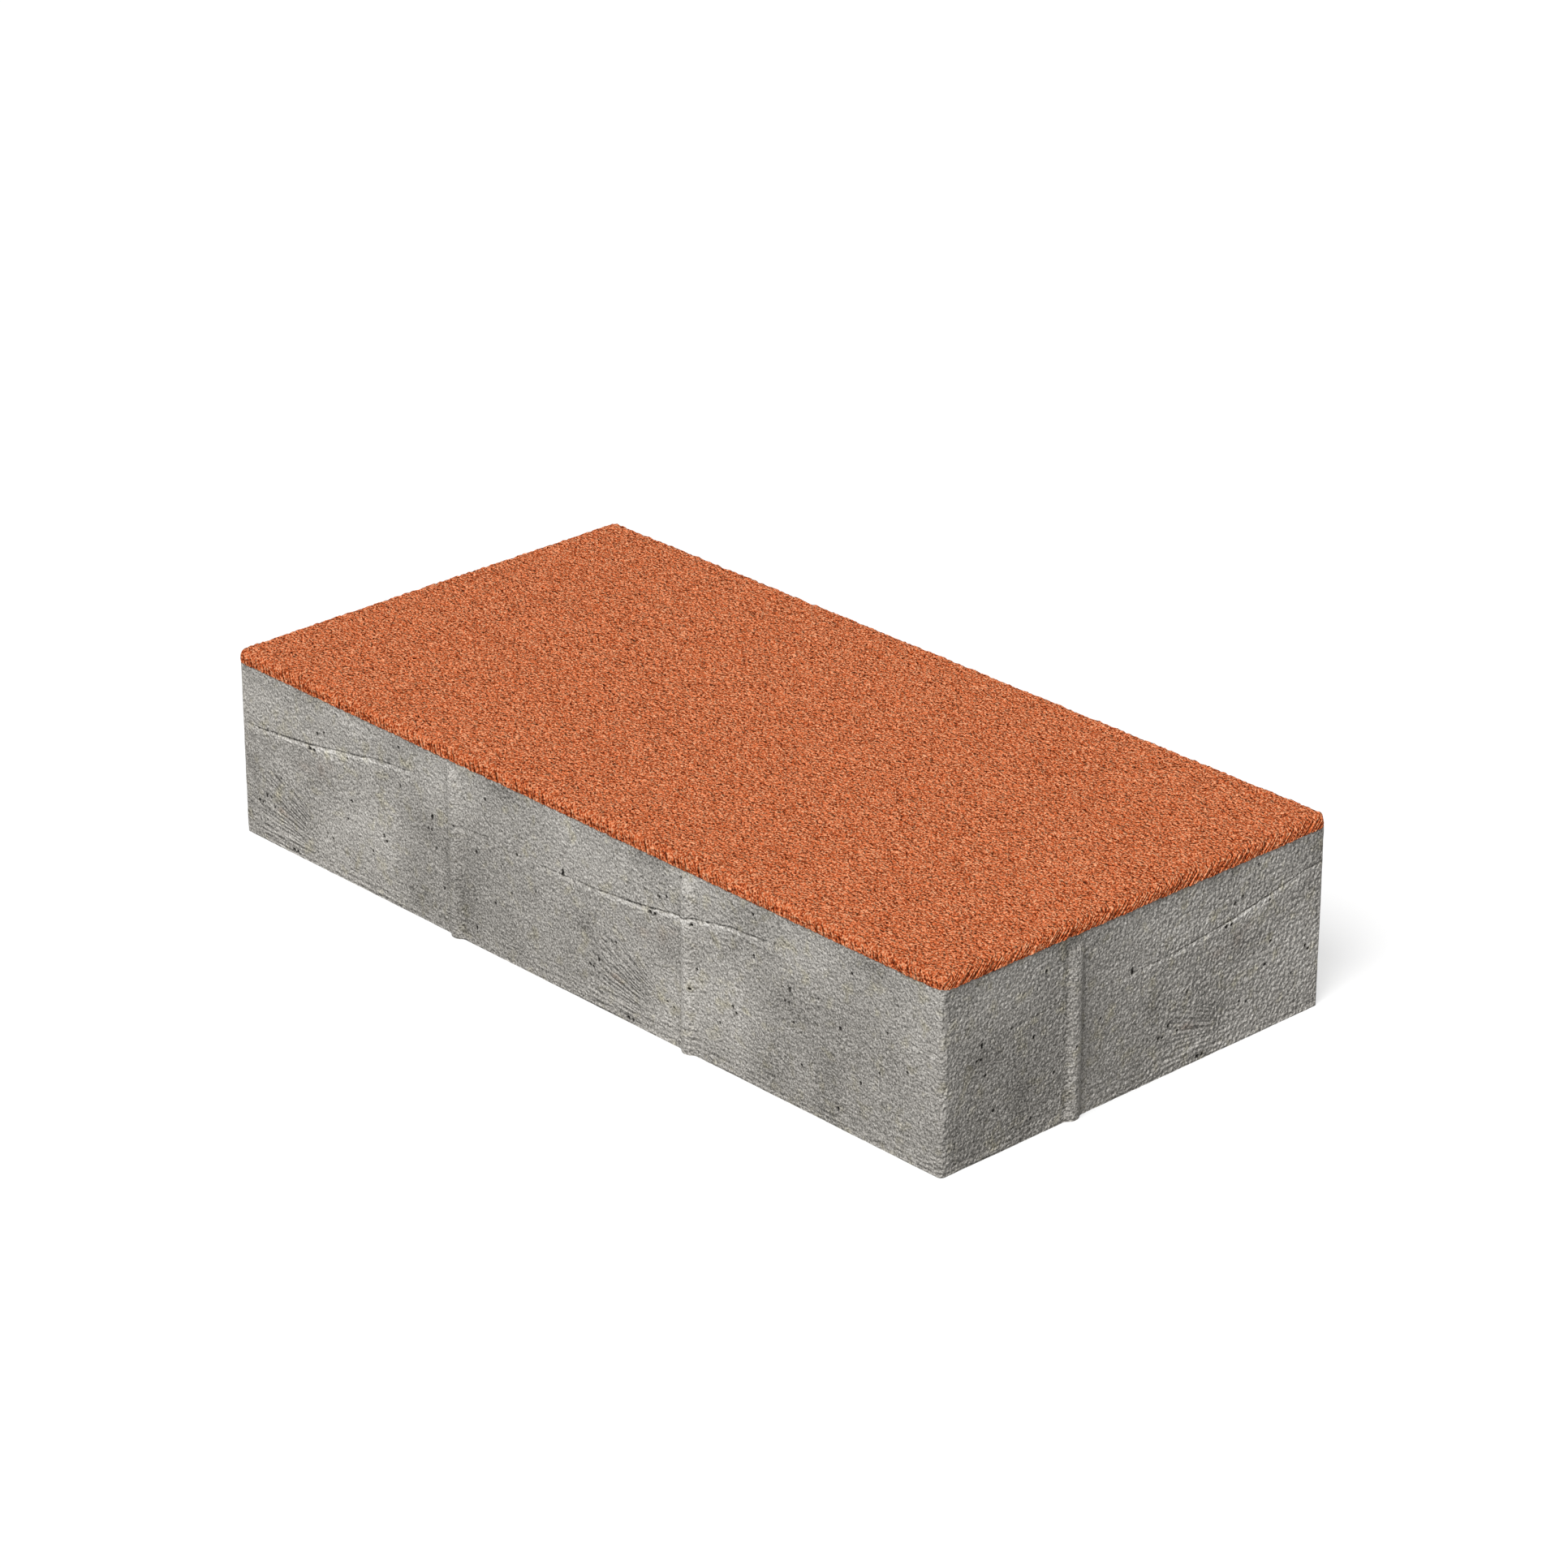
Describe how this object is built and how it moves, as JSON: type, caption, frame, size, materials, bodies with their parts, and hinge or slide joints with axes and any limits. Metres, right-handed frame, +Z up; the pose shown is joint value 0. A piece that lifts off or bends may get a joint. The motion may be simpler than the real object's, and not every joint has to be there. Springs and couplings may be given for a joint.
{
  "type": "concrete paving stone",
  "caption": "Rectangular pressed concrete paving stone: grey backing with vertical spacer ribs, topped by a thin granular terracotta wearing layer with a rounded edge.",
  "frame": {"origin": "centre of the bedding face, the flat underside that lies on the ground", "axes": "+Z up out of the coloured wearing face, X along the stone, Y across it"},
  "size_m": [0.202, 0.102, 0.04],
  "materials": {
    "backing_concrete": "dry-pressed grey concrete, matte, finely stippled, with small pores",
    "facing_concrete": "dry-pressed terracotta coloured facing mix, matte, coarse sandy grain"
  },
  "bodies": {
    "root": {"base_block": "backing_concrete", "face_layer": "facing_concrete"}
  },
  "joints": []
}
